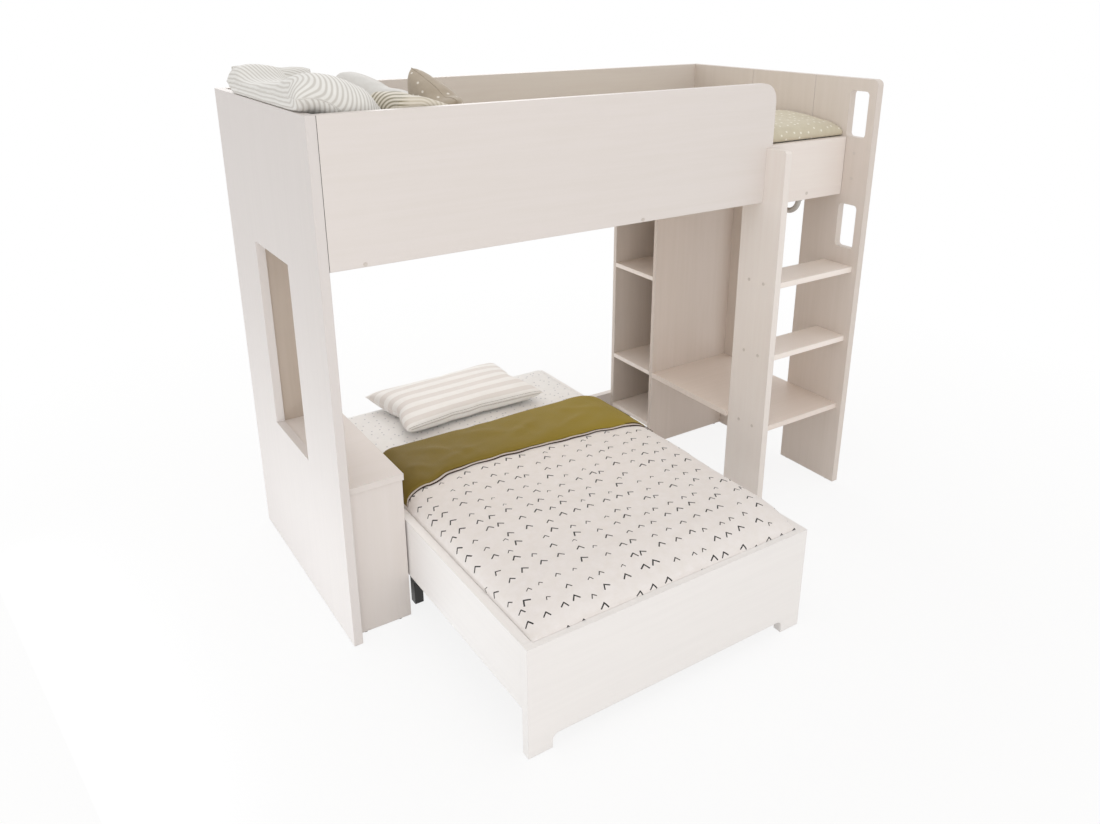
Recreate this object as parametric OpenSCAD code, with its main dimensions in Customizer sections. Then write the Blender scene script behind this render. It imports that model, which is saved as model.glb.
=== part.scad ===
// L-shaped bunk bed: a high bed of cut panels with a ladder, wardrobe bench, shelf column and
// bedside cabinet, and a separate low bed that stands under it at right angles.
// Millimetres. X runs along the high bed, -Y is the side that the low bed's foot points to.
// The origin is on the floor, under the middle of the whole arrangement.

/* [High bed] */
// Length over both end panels
bunk_l = 2060; // [2040:5:2120]
// Depth of the end panels
bunk_d = 884; // [860:2:960]
// Height of the end panels and the guard boards
bunk_h = 1610; // [1580:5:1700]
// Thickness of the panels
panel_t = 28; // [25:1:30]
// Lower edge of the front guard board
guard_z = 1200; // [1190:1:1202]
// Lower edge of the entry rail, the back guard and the right upper board
rail_z = 1186; // [1186:1:1188]
// Upper edge of the entry rail
rail_top_z = 1399; // [1395:1:1420]
// Radius of the guard board's upper corner beside the ladder
guard_r = 60; // [20:5:90]

/* [Ladder and bench] */
// Left face of the ladder post
post_x = 1621; // [1600:1:1640]
// How far the post reaches in front of the guard board
post_front = 92; // [80:1:100]
// How far the post reaches behind the guard board's front face
post_back = 97; // [80:1:110]
// Top of the ladder post
post_h = 1391; // [1350:1:1395]
// How far the tall right panel reaches in front of the guard board
side_front = 115; // [100:1:130]
// Back edge of the tall right panel
side_back = 172; // [150:1:200]
// Heights of the two tread tops
tread_z = [640, 920];
// Depth of a tread, front to back
tread_d = 138; // [120:1:160]
// Top of the bench board
bench_z = 350; // [340:1:360]
// Thickness of the treads and the bench
tread_t = 21; // [18:1:22]

/* [Wardrobe and shelf column] */
// Front face of the partition
partition_y = 562; // [540:1:600]
// Open edge of the shelf column
column_x = 1609; // [1600:1:1612]
// Thickness of the inner boards
inner_t = 18; // [16:1:19]
// Tops of the three shelves in the column
shelf_z = [105, 352, 782];
// Outer diameter of the clothes rail
tube_d = 20; // [16:1:25]

/* [Bedside cabinet and window] */
// Right edge of the cabinet top
cabinet_x = 216; // [200:1:216]
// Front edge of the cabinet top
cabinet_y = 44; // [40:1:60]
// Front face of the tower's back panel
tower_y = 612; // [600:1:640]
// Top of the cabinet
cabinet_z = 521; // [500:1:524]
// Thickness of the cabinet top
cabinet_top_t = 22; // [18:1:25]
// Window in the left end panel: near edge, far edge, sill, head
window = [280, 604, 525, 1160];

/* [Low bed] */
// Left side of the low bed
low_x = 217; // [217:1:230]
// Width over the side rails
low_w = 1008; // [980:2:1020]
// Front face of the footboard, measured from the guard board's front face
low_foot = 673; // [600:1:700]
// Back face of the headboard rail
low_head = 846; // [820:1:850]
// Height of the footboard and the side rails
low_h = 352; // [340:1:360]
// Lower edge of the side rails
low_rail_z = 150; // [140:1:160]
// Width of each foot of the footboard
foot_w = 76; // [60:1:90]
// Height of the cut-out between the feet
arch_h = 46; // [30:1:60]

/* [Bedding] */
// Thickness of the low mattress
low_mattress_t = 138; // [120:1:140]
// Thickness of the high mattress
high_mattress_t = 134; // [110:1:134]
// Gap between the low mattress and its rails
tuck = 10; // [6:1:14]

/* [Hidden] */
// Shadow line between flush boards: width and depth
seam_w = 1.4;
seam_deep = 3;
glide_h = 3;
glide_d = 22;
clear = 0.4;
slot_r = 15;
slot_y = [-81, 2];
slots_z = [[986, 1152], [1401, 1566]];
end_seam_y = 503;
inner_x = bunk_l - panel_t;
back_y = bunk_d - panel_t;
guard_end_x = post_x + panel_t;

bearer_h = 40;
bearer_t = 22;
bearer_z = guard_z + 7;
slat_t = 18;
slat_w = 70;
high_slats = 14;
low_slats = 11;
high_slat_top = bearer_z + bearer_h + slat_t;

ledge_z = 190;
ledge_h = 42;
low_in_l = low_x + panel_t;
low_in_r = low_x + low_w - panel_t;
low_in_front = panel_t - low_foot;
low_in_back = low_head - panel_t;
low_slat_top = ledge_z + ledge_h + slat_t;
beam_t = 30;
leg_w = 30;
leg_mid_y = 88;

rail_x = 1820;
rail_hang = 49;
flange_t = 3;
flange_wall_t = 5;
cap_d = 12;
cap_t = 1.2;

low_mattress_z = low_slat_top + clear;
low_mattress_top = low_mattress_z + low_mattress_t;
high_mattress_z = high_slat_top + clear;
high_mattress_top = high_mattress_z + high_mattress_t;
duvet_fold_y = [128, 433];
high_duvet_x = 700;

// ---- frame and board helpers ----

// Moves a solid from the guard board's own corner to the origin under the middle
module placed() {
    translate([-bunk_l / 2, -(bunk_d - low_foot) / 2, 0])
        children();
}

// Board standing across the bed: its outline is drawn in Y and Z and grows toward +X
module across(x, t) {
    translate([x, 0, 0])
        rotate([90, 0, 90])
            linear_extrude(t)
                children();
}

// Board standing along the bed: its outline is drawn in X and Z and grows toward +Y
module along(y, t) {
    translate([0, y + t, 0])
        rotate([90, 0, 0])
            linear_extrude(t)
                children();
}

// Board lying flat: its outline is drawn in X and Y, with its top at z
module flat(z, t) {
    translate([0, 0, z - t])
        linear_extrude(t)
            children();
}

// Rectangle between two corners
module area(low, high) {
    translate(low)
        square(high - low);
}

// What is cut away to round a corner: dir points from the corner into the board
module corner_waste(corner, dir, r) {
    translate(corner)
        difference() {
            translate([dir.x > 0 ? -1 : -r, dir.y > 0 ? -1 : -r])
                square(r + 1);
            translate(dir * r)
                circle(r, $fn = 96);
            translate([dir.x > 0 ? r : -2 * r - 1, dir.y > 0 ? -1 : -r - 1])
                square([r + 1, r + 2]);
        }
}

// Rectangle with four round corners
module soft_area(low, high, r) {
    area([low.x + r, low.y], [high.x - r, high.y]);
    area([low.x, low.y + r], [high.x, high.y - r]);
    for (x = [low.x + r, high.x - r], y = [low.y + r, high.y - r])
        translate([x, y])
            circle(r, $fn = 64);
}

// Narrow shadow line where two boards meet flush: their edges are eased, so they touch only below it
module shadow_line(at, size) {
    translate(at)
        cube(size);
}

// ---- high bed: end panels ----

module left_end_panel() {
    color("#e7e2df")
        placed()
            across(0, panel_t)
                difference() {
                    area([0, glide_h], [bunk_d, bunk_h]);
                    area([window[0], window[2]], [window[1], window[3]]);
                }
}

// Tall narrow panel beside the ladder, with a hand slot at each landing
module right_front_panel() {
    color("#e0d9d4")
        placed()
            across(inner_x, panel_t)
                difference() {
                    area([-side_front, glide_h], [side_back, bunk_h]);
                    corner_waste([-side_front, bunk_h], [1, -1], 22);
                    for (z = slots_z)
                        soft_area([slot_y[0], z[0]], [slot_y[1], z[1]], slot_r);
                }
}

module right_upper_board() {
    color("#d8cfc6")
        placed()
            difference() {
                across(inner_x, panel_t)
                    area([side_back, rail_z], [end_seam_y, bunk_h]);
                for (y = [side_back - 1, end_seam_y - seam_w])
                    shadow_line([inner_x - 1, y, rail_z - 1], [1 + seam_deep, 1 + seam_w, bunk_h - rail_z + 2]);
            }
}

module right_rear_panel() {
    color("#d8cfc6")
        placed()
            across(inner_x, panel_t)
                area([end_seam_y, glide_h], [bunk_d, bunk_h]);
}

// ---- high bed: guards and rails ----

module front_guard() {
    color("#e4dbd6")
        placed()
            difference() {
                along(0, panel_t)
                    difference() {
                        area([panel_t, guard_z], [guard_end_x, bunk_h]);
                        corner_waste([guard_end_x, bunk_h], [-1, -1], guard_r);
                    }
                shadow_line([panel_t - 1, -1, guard_z - 1], [1 + seam_w, 1 + seam_deep, bunk_h - guard_z + 2]);
            }
}

module entry_rail() {
    color("#e4dbd6")
        placed()
            difference() {
                along(0, panel_t)
                    area([guard_end_x, rail_z], [inner_x, rail_top_z]);
                shadow_line([inner_x - seam_w, -1, rail_z - 1], [1 + seam_w, 1 + seam_deep, rail_top_z - rail_z + 2]);
            }
}

module back_guard() {
    color("#d3c8be")
        placed()
            along(back_y, panel_t)
                area([panel_t, rail_z], [inner_x, bunk_h]);
}

module front_bearer() {
    color("#cbb694")
        placed()
            along(panel_t, bearer_t)
                area([panel_t + 2, bearer_z], [inner_x - 2, bearer_z + bearer_h]);
}

module back_bearer() {
    color("#cbb694")
        placed()
            along(back_y - bearer_t, bearer_t)
                area([panel_t + 2, bearer_z], [inner_x - 2, bearer_z + bearer_h]);
}

// Slats lie across the bed on the two bearers
module high_bed_slats() {
    first = panel_t + 12;
    pitch = (inner_x - 12 - slat_w - first) / (high_slats - 1);
    color("#cbb694")
        placed()
            flat(high_slat_top, slat_t)
                for (i = [0:high_slats - 1])
                    area([first + i * pitch, panel_t + 2], [first + i * pitch + slat_w, back_y - 2]);
}

module low_stretcher() {
    color("#b5a292")
        placed()
            along(back_y, panel_t)
                area([panel_t, 47], [inner_x, 147]);
}

// ---- ladder and bench ----

// The post is notched, so that the guard board seats on its shoulder and against its back edge
module ladder_post() {
    color("#cfc3ba")
        placed()
            across(post_x, panel_t)
                difference() {
                    area([-post_front, glide_h], [post_back, post_h]);
                    area([0, guard_z], [post_back + 1, post_h + 1]);
                    corner_waste([-post_front, post_h], [1, -1], 12);
                }
}

module tread(z) {
    color("#d9cfc7")
        placed()
            flat(z, tread_t)
                area([guard_end_x, -post_front + 2], [inner_x, -post_front + 2 + tread_d]);
}

module lower_tread() {
    tread(tread_z[0]);
}

module upper_tread() {
    tread(tread_z[1]);
}

// One board from the ladder front to the partition, notched round the post
module bench() {
    front = -post_front + 2;
    color("#cfc1b4")
        placed()
            flat(bench_z, tread_t)
                polygon([
                    [guard_end_x, front], [inner_x, front], [inner_x, partition_y],
                    [column_x, partition_y], [column_x, post_back], [guard_end_x, post_back]
                ]);
}

// ---- wardrobe and shelf column ----

module partition() {
    color("#c2b2a4")
        placed()
            along(partition_y, inner_t)
                area([column_x, glide_h], [inner_x, rail_z]);
}

module column_rear_side() {
    color("#bcab9c")
        placed()
            along(back_y - inner_t, inner_t)
                area([column_x, glide_h], [inner_x, rail_z]);
}

module column_top() {
    color("#cfc3ba")
        placed()
            flat(rail_z + inner_t, inner_t)
                area([column_x, partition_y], [inner_x, back_y]);
}

module shelf(z) {
    color("#d3c8be")
        placed()
            flat(z, inner_t)
                area([column_x, partition_y + inner_t], [inner_x, back_y - inner_t]);
}

module low_shelf() {
    shelf(shelf_z[0]);
}

module middle_shelf() {
    shelf(shelf_z[1]);
}

module high_shelf() {
    shelf(shelf_z[2]);
}

// The rail leaves the partition level, then bends up to the underside of the entry rail
module clothes_rail() {
    bend_z = rail_z;
    bend_y = panel_t / 2 + rail_hang;
    rail_axis_z = rail_z - rail_hang;
    color("#8d8b88")
        placed()
            translate([rail_x, 0, 0]) {
                translate([0, partition_y - flange_wall_t, rail_axis_z])
                    rotate([90, 0, 0])
                        cylinder(h = partition_y - flange_wall_t - bend_y, d = tube_d, $fn = 48);
                intersection() {
                    translate([0, bend_y, bend_z])
                        rotate([0, 90, 0])
                            rotate_extrude($fn = 96)
                                translate([rail_hang, 0])
                                    circle(d = tube_d, $fn = 48);
                    translate([-tube_d, bend_y - 2 * rail_hang, bend_z - 2 * rail_hang])
                        cube([2 * tube_d, 2 * rail_hang, 2 * rail_hang - flange_t]);
                }
            }
}

module rail_flanges() {
    color("#8d8b88")
        placed()
            translate([rail_x, 0, 0]) {
                translate([0, partition_y, rail_z - rail_hang])
                    rotate([90, 0, 0])
                        cylinder(h = flange_wall_t, d = 44, $fn = 64);
                translate([0, panel_t / 2, rail_z - flange_t])
                    cylinder(h = flange_t, d = 27, $fn = 64);
            }
}

// ---- bedside cabinet ----

module tower_back() {
    color("#b3a394")
        placed()
            along(tower_y, inner_t)
                area([panel_t, glide_h], [cabinet_x, guard_z]);
}

module cabinet_top() {
    color("#ddd6d1")
        placed()
            flat(cabinet_z, cabinet_top_t)
                area([panel_t, cabinet_y], [cabinet_x, tower_y]);
}

module cabinet_front() {
    color("#cdc2bb")
        placed()
            along(cabinet_y + 4, inner_t)
                area([panel_t, glide_h], [cabinet_x - 4, cabinet_z - cabinet_top_t]);
}

module cabinet_side() {
    color("#cdc2bb")
        placed()
            across(cabinet_x - 4 - inner_t, inner_t)
                area([cabinet_y + 4 + inner_t, glide_h], [tower_y, cabinet_z - cabinet_top_t]);
}

module cabinet_bottom() {
    color("#cdc2bb")
        placed()
            flat(78, inner_t)
                area([panel_t, cabinet_y + 4 + inner_t], [cabinet_x - 4 - inner_t, tower_y]);
}

// ---- small fittings of the high bed ----

// Flat caps over the screws of the guard, the treads, the bench and the entry rail
module screw_caps() {
    front_caps = [[129, 1208], [1082, 1208], [1844, 1209]];
    post_heights = [bench_z - tread_t, tread_z[0] - tread_t, tread_z[1] - tread_t] + [8, 8, 8];
    color("#b9aca2")
        placed() {
            for (p = front_caps)
                translate([p.x, 0, p.y])
                    rotate([90, 0, 0])
                        cylinder(h = cap_t, d = cap_d, $fn = 32);
            for (z = post_heights, y = [-35, 37])
                translate([post_x - cap_t, y, z])
                    rotate([0, 90, 0])
                        cylinder(h = cap_t, d = cap_d, $fn = 32);
            for (z = [1251, 1344])
                translate([inner_x - cap_t, -42, z])
                    rotate([0, 90, 0])
                        cylinder(h = cap_t, d = cap_d, $fn = 32);
        }
}

module high_bed_glides() {
    panel_mid = panel_t / 2;
    spots = [
        [panel_mid, 40], [panel_mid, bunk_d - 40],
        [inner_x + panel_mid, 40 - side_front], [inner_x + panel_mid, side_back - 30],
        [inner_x + panel_mid, end_seam_y + 40], [inner_x + panel_mid, bunk_d - 40],
        [post_x + panel_mid, 30 - post_front], [post_x + panel_mid, post_back - 30]
    ];
    thin_spots = [
        [column_x + 30, partition_y + inner_t / 2], [inner_x - 30, partition_y + inner_t / 2],
        [column_x + 30, back_y - inner_t / 2], [inner_x - 30, back_y - inner_t / 2],
        [panel_t + 30, tower_y + inner_t / 2], [cabinet_x - 30, tower_y + inner_t / 2],
        [panel_t + 30, cabinet_y + 4 + inner_t / 2], [cabinet_x - 40, cabinet_y + 4 + inner_t / 2]
    ];
    color("#6f6a66")
        placed() {
            for (p = spots)
                translate(p)
                    cylinder(h = glide_h, d = glide_d, $fn = 32);
            for (p = thin_spots)
                translate(p)
                    cylinder(h = glide_h, d = inner_t - 2, $fn = 32);
        }
}

// ---- low bed ----

// The footboard stands on two feet, with a shallow arch between them
module footboard() {
    low = [low_x + foot_w, -1];
    high = [low_x + low_w - foot_w, arch_h];
    color("#e9e5e2")
        placed()
            along(-low_foot, panel_t)
                difference() {
                    area([low_x, glide_h], [low_x + low_w, low_h]);
                    difference() {
                        area(low, high);
                        corner_waste([low.x, high.y], [1, -1], 20);
                        corner_waste([high.x, high.y], [-1, -1], 20);
                    }
                }
}

module head_rail() {
    color("#dcd5cf")
        placed()
            along(low_in_back, panel_t)
                area([low_x, low_rail_z], [low_x + low_w, low_h]);
}

module side_rail(x) {
    color("#e3deda")
        placed()
            across(x, panel_t)
                area([low_in_front, low_rail_z], [low_in_back, low_h]);
}

module left_side_rail() {
    side_rail(low_x);
}

module right_side_rail() {
    side_rail(low_in_r);
}

module ledge(x) {
    color("#cbb694")
        placed()
            across(x, panel_t)
                area([low_in_front + 4, ledge_z], [low_in_back - 4, ledge_z + ledge_h]);
}

module left_ledge() {
    ledge(low_in_l);
}

module right_ledge() {
    ledge(low_in_r - panel_t);
}

module centre_beam() {
    middle = low_x + low_w / 2;
    color("#cbb694")
        placed()
            across(middle - beam_t / 2, beam_t)
                area([low_in_front, ledge_z - 8], [low_in_back, ledge_z + ledge_h]);
}

module low_bed_slats() {
    first = low_in_front + 20;
    pitch = (low_in_back - 20 - slat_w - first) / (low_slats - 1);
    color("#cbb694")
        placed()
            flat(low_slat_top, slat_t)
                for (i = [0:low_slats - 1])
                    area([low_in_l + 2, first + i * pitch], [low_in_r - 2, first + i * pitch + slat_w]);
}

// Square legs: under both ledges at mid length and at the head, and under the beam
module low_bed_legs() {
    head_y = low_in_back - leg_w;
    beam_x = low_x + (low_w - leg_w) / 2;
    color("#1c1b1a")
        placed() {
            for (x = [low_in_l + 1, low_in_r - 1 - leg_w], y = [leg_mid_y, head_y])
                translate([x, y, glide_h])
                    cube([leg_w, leg_w, ledge_z - glide_h]);
            for (y = [-280, leg_mid_y, 500])
                translate([beam_x, y, glide_h])
                    cube([leg_w, leg_w, ledge_z - 8 - glide_h]);
        }
}

module low_bed_glides() {
    head_y = low_in_back - leg_w / 2;
    foot_y = panel_t / 2 - low_foot;
    middle = low_x + low_w / 2;
    spots = [
        [low_x + foot_w / 2, foot_y], [low_x + low_w - foot_w / 2, foot_y],
        [low_in_l + 1 + leg_w / 2, leg_mid_y + leg_w / 2], [low_in_r - 1 - leg_w / 2, leg_mid_y + leg_w / 2],
        [low_in_l + 1 + leg_w / 2, head_y], [low_in_r - 1 - leg_w / 2, head_y],
        [middle, leg_w / 2 - 280], [middle, leg_mid_y + leg_w / 2], [middle, 500 + leg_w / 2]
    ];
    color("#6f6a66")
        placed()
            for (p = spots)
                translate(p)
                    cylinder(h = glide_h, d = glide_d, $fn = 32);
}

// ---- soft forms ----

// Signed power, for rounded-square outlines
function spow(v, e) = sign(v) * pow(abs(v), e);

// One ring of points: half sizes rx and ry, squareness e, at height z. draw pulls in the middle of
// each side, as filling does to a sewn cover.
function ring(rx, ry, e, z, draw = 0, n = 36) = [
    for (i = [0:n - 1])
        let (a = 360 * (i + 0.5) / n,
             x = spow(cos(a), 2 / e), y = spow(sin(a), 2 / e))
        [rx * x * (1 - draw * (1 - y * y)), ry * y * (1 - draw * (1 - x * x)), z]
];

// Closed skin through a stack of rings, from the underside's middle to the top's middle
module skin(rings, low, high) {
    n = len(rings[0]);
    m = len(rings);
    points = concat([for (r = rings) each r], [low, high]);
    sides = [
        for (k = [0:m - 2], i = [0:n - 1])
            let (j = (i + 1) % n, a = k * n + i, b = k * n + j, c = (k + 1) * n + j, d = (k + 1) * n + i)
            each [[a, d, c], [a, c, b]]
    ];
    under = [for (i = [0:n - 1]) [m * n, i, (i + 1) % n]];
    over = [for (i = [0:n - 1]) [m * n + 1, (m - 1) * n + (i + 1) % n, (m - 1) * n + i]];
    polyhedron(points, concat(sides, under, over), convexity = 6);
}

// Mattress: square sides drawn in between two piped edges, and a crowned top
module mattress(size, crown) {
    r = 16;
    hx = size.x / 2;
    hy = size.y / 2;
    side_z = size.z - crown;
    lower = [for (a = [-90:30:0]) ring(hx - r * (1 - cos(a)), hy - r * (1 - cos(a)), 26, r + r * sin(a))];
    waist = [ring(hx - 5, hy - 5, 26, side_z / 2)];
    upper = [
        for (a = [0:30:90])
            ring(hx - r * (1 - cos(a)), hy - r * (1 - cos(a)), 26, side_z - r + r * sin(a))
    ];
    top = [for (f = [0.75, 0.45]) ring(hx * f, hy * f, 8, size.z - crown * f * f)];
    skin(concat(lower, waist, upper, top), [0, 0, 0], [0, 0, size.z]);
}

// Duvet lying on a mattress: a soft rolled edge, swelling toward the middle
module duvet(size, puff) {
    hx = size.x / 2;
    hy = size.y / 2;
    edge_z = size.z * 0.72;
    under = [ring(hx * 0.6, hy * 0.6, 10, 0), ring(hx - 8, hy - 8, 22, 0)];
    edge = [ring(hx - 1.5, hy - 1.5, 24, 3), ring(hx, hy, 24, 8)];
    shoulder = [
        for (a = [15:15:75])
            ring(hx - puff * 1.6 * (1 - cos(a)), hy - puff * 1.6 * (1 - cos(a)), 14, 8 + (edge_z - 8) * sin(a))
    ];
    top = [for (f = [0.8, 0.55, 0.28]) ring(hx * f, hy * f, 5, edge_z + (size.z - edge_z) * (1 - f * f))];
    skin(concat(under, edge, shoulder, top), [0, 0, 0], [0, 0, size.z]);
}

// Pillow: a seam all round at mid height, plump in the middle, with its sides drawn in
module pillow(size, draw = 0.05, n = 32) {
    body = [
        for (a = [-78:13:78])
            let (f = pow(cos(a), 0.62))
            ring(size.x / 2 * f, size.y / 2 * f, 2.3 + 3.2 * cos(a) * cos(a), size.z / 2 * sin(a), draw * cos(a), n)
    ];
    skin(body, [0, 0, -size.z / 2], [0, 0, size.z / 2]);
}

// ---- bedding of the low bed ----

low_bed_mid = [(low_in_l + low_in_r) / 2, (low_in_front + low_in_back) / 2];
low_mattress_size = [low_in_r - low_in_l - 2 * tuck, low_in_back - low_in_front - 2 * tuck, low_mattress_t];

module low_mattress() {
    color("#efece8")
        placed()
            translate([low_bed_mid.x, low_bed_mid.y, low_mattress_z])
                mattress(low_mattress_size, 5);
}

// The duvet lies from the footboard up to its turned-back edge
module low_duvet() {
    front = low_in_front + 1;
    back = duvet_fold_y[0] - 0.5;
    color("#f0eae4")
        placed()
            translate([low_bed_mid.x, (front + back) / 2, low_mattress_top + clear])
                duvet([low_in_r - low_in_l - 2, back - front, 46], 14);
}

module duvet_fold() {
    front = duvet_fold_y[0];
    back = duvet_fold_y[1];
    color("#8f7d37")
        placed()
            translate([low_bed_mid.x, (front + back) / 2, low_mattress_top + clear])
                duvet([low_in_r - low_in_l - 2, back - front, 58], 16);
}

module low_pillow() {
    color("#e8e0d6")
        placed()
            translate([708, 662, low_mattress_top + 53])
                rotate([2, 0, 2])
                    pillow([610, 370, 96]);
}

// ---- bedding of the high bed ----

high_bed_mid = [(panel_t + inner_x) / 2, (panel_t + back_y) / 2];
high_mattress_size = [inner_x - panel_t - 2 * tuck, back_y - panel_t - 2 * tuck, high_mattress_t];

module high_mattress() {
    color("#efece8")
        placed()
            translate([high_bed_mid.x, high_bed_mid.y, high_mattress_z])
                mattress(high_mattress_size, 5);
}

module high_duvet() {
    front = panel_t + 1;
    back = back_y - 1;
    right = inner_x - 1;
    color("#cfc2a0")
        placed()
            translate([(high_duvet_x + right) / 2, (front + back) / 2, high_mattress_top + clear])
                duvet([right - high_duvet_x, back - front, 62], 26);
}

// Long pillow that stands on the mattress and leans over the left end panel's top edge
module striped_pillow() {
    color("#dcd8d2")
        placed()
            translate([179, 364, 1545])
                rotate([-3, 54, 5])
                    rotate([0, 0, 4])
                        pillow([326, 680, 172]);
}

// Two pillows stand behind it against the back guard
module second_pillow() {
    color("#dcd8d2")
        placed()
            translate([164, 781, 1541])
                rotate([72, 0, 1])
                    rotate([0, 0, -5])
                        pillow([264, 292, 106]);
}

module plain_pillow() {
    color("#dedbd6")
        placed()
            translate([469, 711, 1527])
                rotate([70, 0, -56])
                    rotate([0, 0, -17])
                        pillow([328, 216, 104]);
}

// Square cushion standing on one corner
module dotted_cushion() {
    color("#c9bfa8")
        placed()
            translate([564, 414, 1537])
                rotate([0, -106, 3])
                    rotate([0, 0, -21])
                        pillow([240, 268, 110]);
}

// Quilt folded into a thick stack beside the guard
module folded_throw() {
    color("#b8ad92")
        placed()
            translate([440, 143, 1516])
                rotate([0, 13, 0])
                    pillow([208, 222, 222], 0.02);
}

left_end_panel();
front_guard();
entry_rail();
back_guard();
right_front_panel();
right_upper_board();
right_rear_panel();
ladder_post();
lower_tread();
upper_tread();
bench();
partition();
column_rear_side();
column_top();
low_shelf();
middle_shelf();
high_shelf();
low_stretcher();
tower_back();
cabinet_top();
cabinet_front();
cabinet_side();
cabinet_bottom();
front_bearer();
back_bearer();
high_bed_slats();
clothes_rail();
rail_flanges();
screw_caps();
high_bed_glides();
footboard();
head_rail();
left_side_rail();
right_side_rail();
left_ledge();
right_ledge();
centre_beam();
low_bed_slats();
low_bed_legs();
low_bed_glides();
low_mattress();
low_duvet();
duvet_fold();
low_pillow();
high_mattress();
high_duvet();
striped_pillow();
second_pillow();
plain_pillow();
dotted_cushion();
folded_throw();
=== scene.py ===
import math
from functools import partial

import bpy
import numpy as np
from mathutils import Euler, Matrix, Vector


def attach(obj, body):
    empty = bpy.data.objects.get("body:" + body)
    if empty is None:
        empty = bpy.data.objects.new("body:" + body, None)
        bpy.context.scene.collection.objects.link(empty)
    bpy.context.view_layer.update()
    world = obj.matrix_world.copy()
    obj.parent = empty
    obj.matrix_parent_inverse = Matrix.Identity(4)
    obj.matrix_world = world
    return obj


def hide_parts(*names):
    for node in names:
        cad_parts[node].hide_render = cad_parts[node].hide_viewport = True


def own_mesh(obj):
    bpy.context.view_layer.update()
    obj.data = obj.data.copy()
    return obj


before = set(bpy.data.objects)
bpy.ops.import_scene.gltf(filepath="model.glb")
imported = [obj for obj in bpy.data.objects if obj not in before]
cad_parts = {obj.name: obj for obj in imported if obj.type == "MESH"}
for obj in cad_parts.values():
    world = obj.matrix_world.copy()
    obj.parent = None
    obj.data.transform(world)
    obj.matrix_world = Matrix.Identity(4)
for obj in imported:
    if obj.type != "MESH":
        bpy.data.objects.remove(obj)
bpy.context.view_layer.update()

# ---- Large boards of the high bed ----
# End panels, guards and rails are 28 mm particle board with a warm off-white melamine face that
# carries a faint pressed grain along the board. Every edge is banded and eased by hand sanding.

# The third colour is a painted highlight laid along the eased edges.
BOARD_FACE, BOARD_GRAIN, BOARD_EDGE_HIGHLIGHT = (224, 216, 211), (222, 214, 208), (231, 224, 219)
EASED_EDGE = 0.0022


def paint(colour):
    """A colour chip of 0 to 255, as the shader takes it."""
    return tuple((c / 255 / 12.92) if c <= 10 else ((c / 255 + 0.055) / 1.055) ** 2.4 for c in colour) + (1,)


def feed(tree, socket, value):
    """Sets a socket, or joins it to another node's output."""
    if isinstance(value, bpy.types.NodeSocket):
        tree.links.new(value, socket)
    else:
        socket.default_value = value


def add(tree, kind, out=0, **sockets):
    """One node of a finish with its named sockets fed. Returns one of its outputs."""
    made = tree.nodes.new("ShaderNode" + kind)
    for name, value in sockets.items():
        feed(tree, made.inputs[name.replace("_", " ")], value)
    return made.outputs[out]


def reckon(tree, kind, *values, on="Math", out=0):
    """One step of arithmetic on numbers, or on vectors."""
    made = tree.nodes.new("ShaderNode" + on)
    made.operation = kind
    for k, value in enumerate(values):
        feed(tree, made.inputs["Scale" if kind == "SCALE" and k else k], value)
    return made.outputs[out]


def finish_named(name, roughness, sheen=0.0):
    """An empty finish: its material, its tree and its surface shader."""
    made = bpy.data.materials.new(name)
    made.use_nodes = True
    shader = made.node_tree.nodes["Principled BSDF"]
    shader.inputs["Roughness"].default_value = roughness
    shader.inputs["Sheen Weight"].default_value = sheen
    return made, made.node_tree, shader


def two_tone(tree, value, low, high, dark, light):
    """Colours a pattern between two chips."""
    tone = add(tree, "ValToRGB", Fac=value)
    for stop, place, chip in zip(tone.node.color_ramp.elements, (low, high), (dark, light)):
        stop.position, stop.color = place, paint(chip)
    return tone


def coloured(tree, shader, *toning):
    """Gives a surface the colours of a pattern, and returns them."""
    tone = two_tone(tree, *toning)
    feed(tree, shader.inputs["Base Color"], tone)
    return tone


def over(tree, shader, under, share, colour):
    """Lays one more colour on a surface's own, where a share is 1."""
    laid = add(tree, "Mix", Factor=share).node
    laid.data_type = "RGBA"
    feed(tree, laid.inputs[6], under)
    feed(tree, laid.inputs[7], paint(colour))
    feed(tree, shader.inputs["Base Color"], laid.outputs[2])
    return laid


def press_in(tree, shader, pattern, strength, depth, **under):
    """Presses a pattern into a surface, over whatever relief lies under it."""
    relief = add(tree, "Bump", Strength=strength, Distance=depth, Height=pattern, **under)
    feed(tree, shader.inputs["Normal"], relief)
    return relief


def drawn_out(tree, *scale):
    """Places on a piece, drawn out along some axes and crowded along others."""
    return add(tree, "Mapping", Vector=add(tree, "TexCoord", "Object"), Scale=scale)


def grained_board(name, along, face, grain, edge=BOARD_EDGE_HIGHLIGHT):
    """Melamine board whose grain runs along one axis, with eased edges that carry a painted highlight."""
    made, tree, shader = finish_named(name, 0.46)
    shader.inputs["Specular IOR Level"].default_value = 0.95
    stretch = drawn_out(tree, *(1.2 if axis == along else 26 for axis in "XYZ"))
    streaks = add(tree, "TexNoise", Vector=stretch, Scale=2.4, Detail=5.0, Roughness=0.6)
    tone = two_tone(tree, streaks, 0.36, 0.62, grain, face)
    rounded = add(tree, "Bevel", Radius=EASED_EDGE)
    rounded.node.samples = 6
    turn = reckon(tree, "DOT_PRODUCT", rounded, add(tree, "NewGeometry", "Normal"), on="VectorMath", out="Value")
    # Lighter colour where the bevelled normal turns away from the face: a painted highlight on the eased edges.
    over(tree, shader, tone, two_tone(tree, turn, 0.80, 0.995, (255, 255, 255), (0, 0, 0)), edge)
    pores = add(tree, "TexNoise", Vector=stretch, Scale=9.0, Detail=4.0)
    press_in(tree, shader, pores, 0.12, 0.0006, Normal=rounded)
    return made


def dress(finish, *names):
    """Gives a finish to boards that keep their own shape."""
    for name in names:
        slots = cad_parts[name].data.materials
        slots.clear()
        slots.append(finish)


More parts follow.
